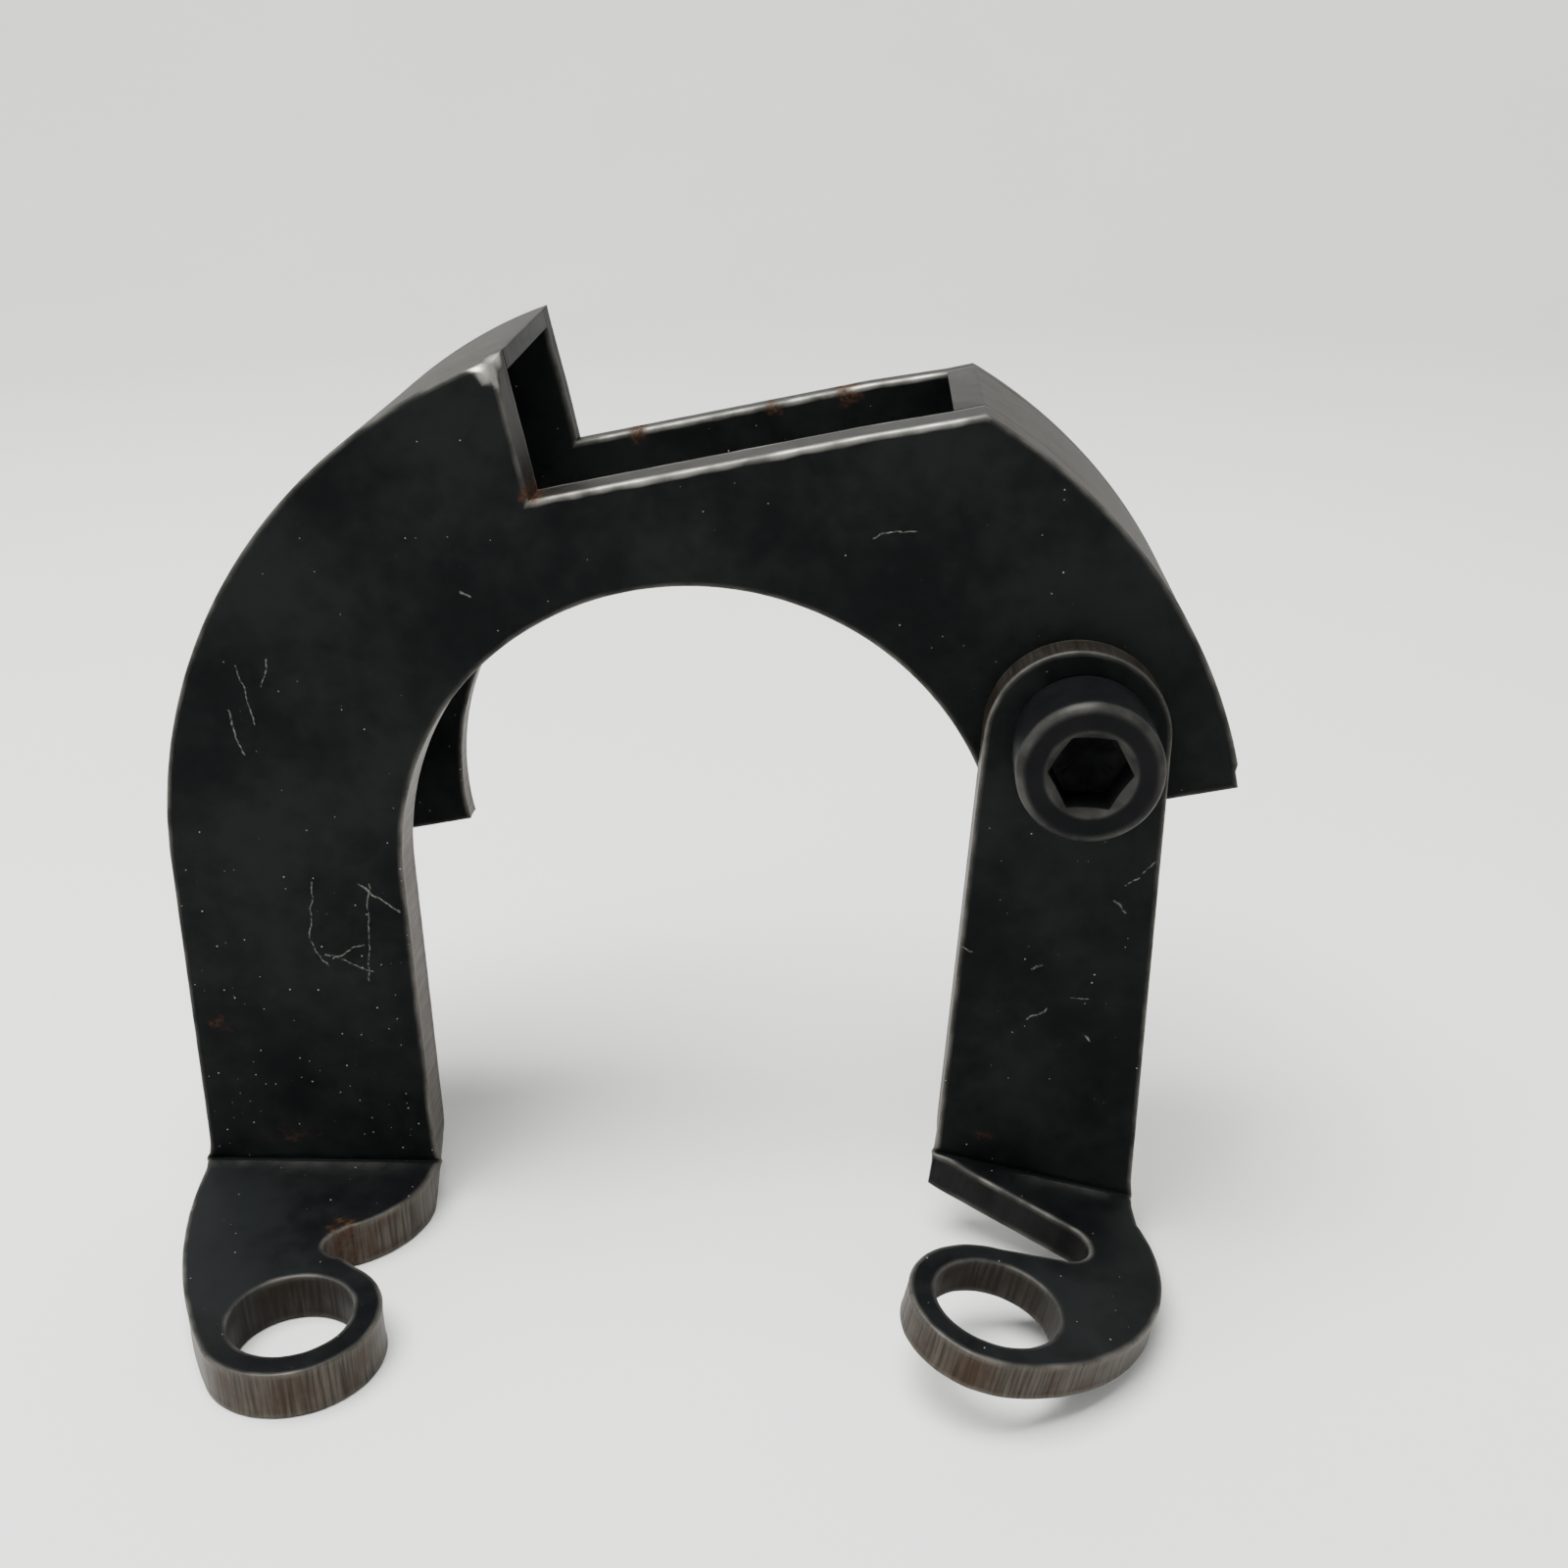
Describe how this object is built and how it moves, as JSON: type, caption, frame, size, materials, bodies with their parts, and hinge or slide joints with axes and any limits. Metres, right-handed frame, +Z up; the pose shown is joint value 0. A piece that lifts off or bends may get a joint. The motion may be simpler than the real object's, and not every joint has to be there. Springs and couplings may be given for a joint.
{
  "type": "hinged horseshoe bracket",
  "caption": "Hollow half-ring bracket in blackened steel, with a folded foot on a fixed arm and another on a leg that turns on a cap screw.",
  "frame": {"origin": "middle of the bracket's bounding box, on the base plane that its feet stand on", "axes": "+Z up from the feet to the crown, front of the bracket (feet and screw head) towards -Y, arm on the -X side and leg on the +X side"},
  "size_m": [0.1283, 0.0776, 0.1075],
  "materials": {
    "plate_steel": "black oxide on hot-rolled plate, satin, with brown rust in patches and grey cut edges",
    "rim_steel": "black oxide worn to grey, satin",
    "leg_steel": "black oxide on hot-rolled plate, satin",
    "screw_steel": "black oxide, smooth satin",
    "nut_steel": "black oxide, smooth satin",
    "washer_steel": "black oxide spring steel"
  },
  "bodies": {
    "housing": {"front_plate": "plate_steel", "back_plate": "plate_steel", "left_rim": "rim_steel", "right_rim": "rim_steel", "pivot_nut": "nut_steel", "spring_washer": "washer_steel"},
    "leg": {"pivot_leg": "leg_steel"},
    "screw": {"pivot_screw": "screw_steel"}
  },
  "joints": [
    {"name": "leg_swing", "type": "hinge", "parent": "housing", "child": "leg", "pos_m": [0.04529, 0.00285, 0.06543], "axis": [0, 1, 0], "continuous": true},
    {"name": "screw_turn", "type": "hinge", "parent": "housing", "child": "screw", "pos_m": [0.04529, 0.00285, 0.06543], "axis": [0, -1, 0], "range_deg": [0, 90]}
  ]
}
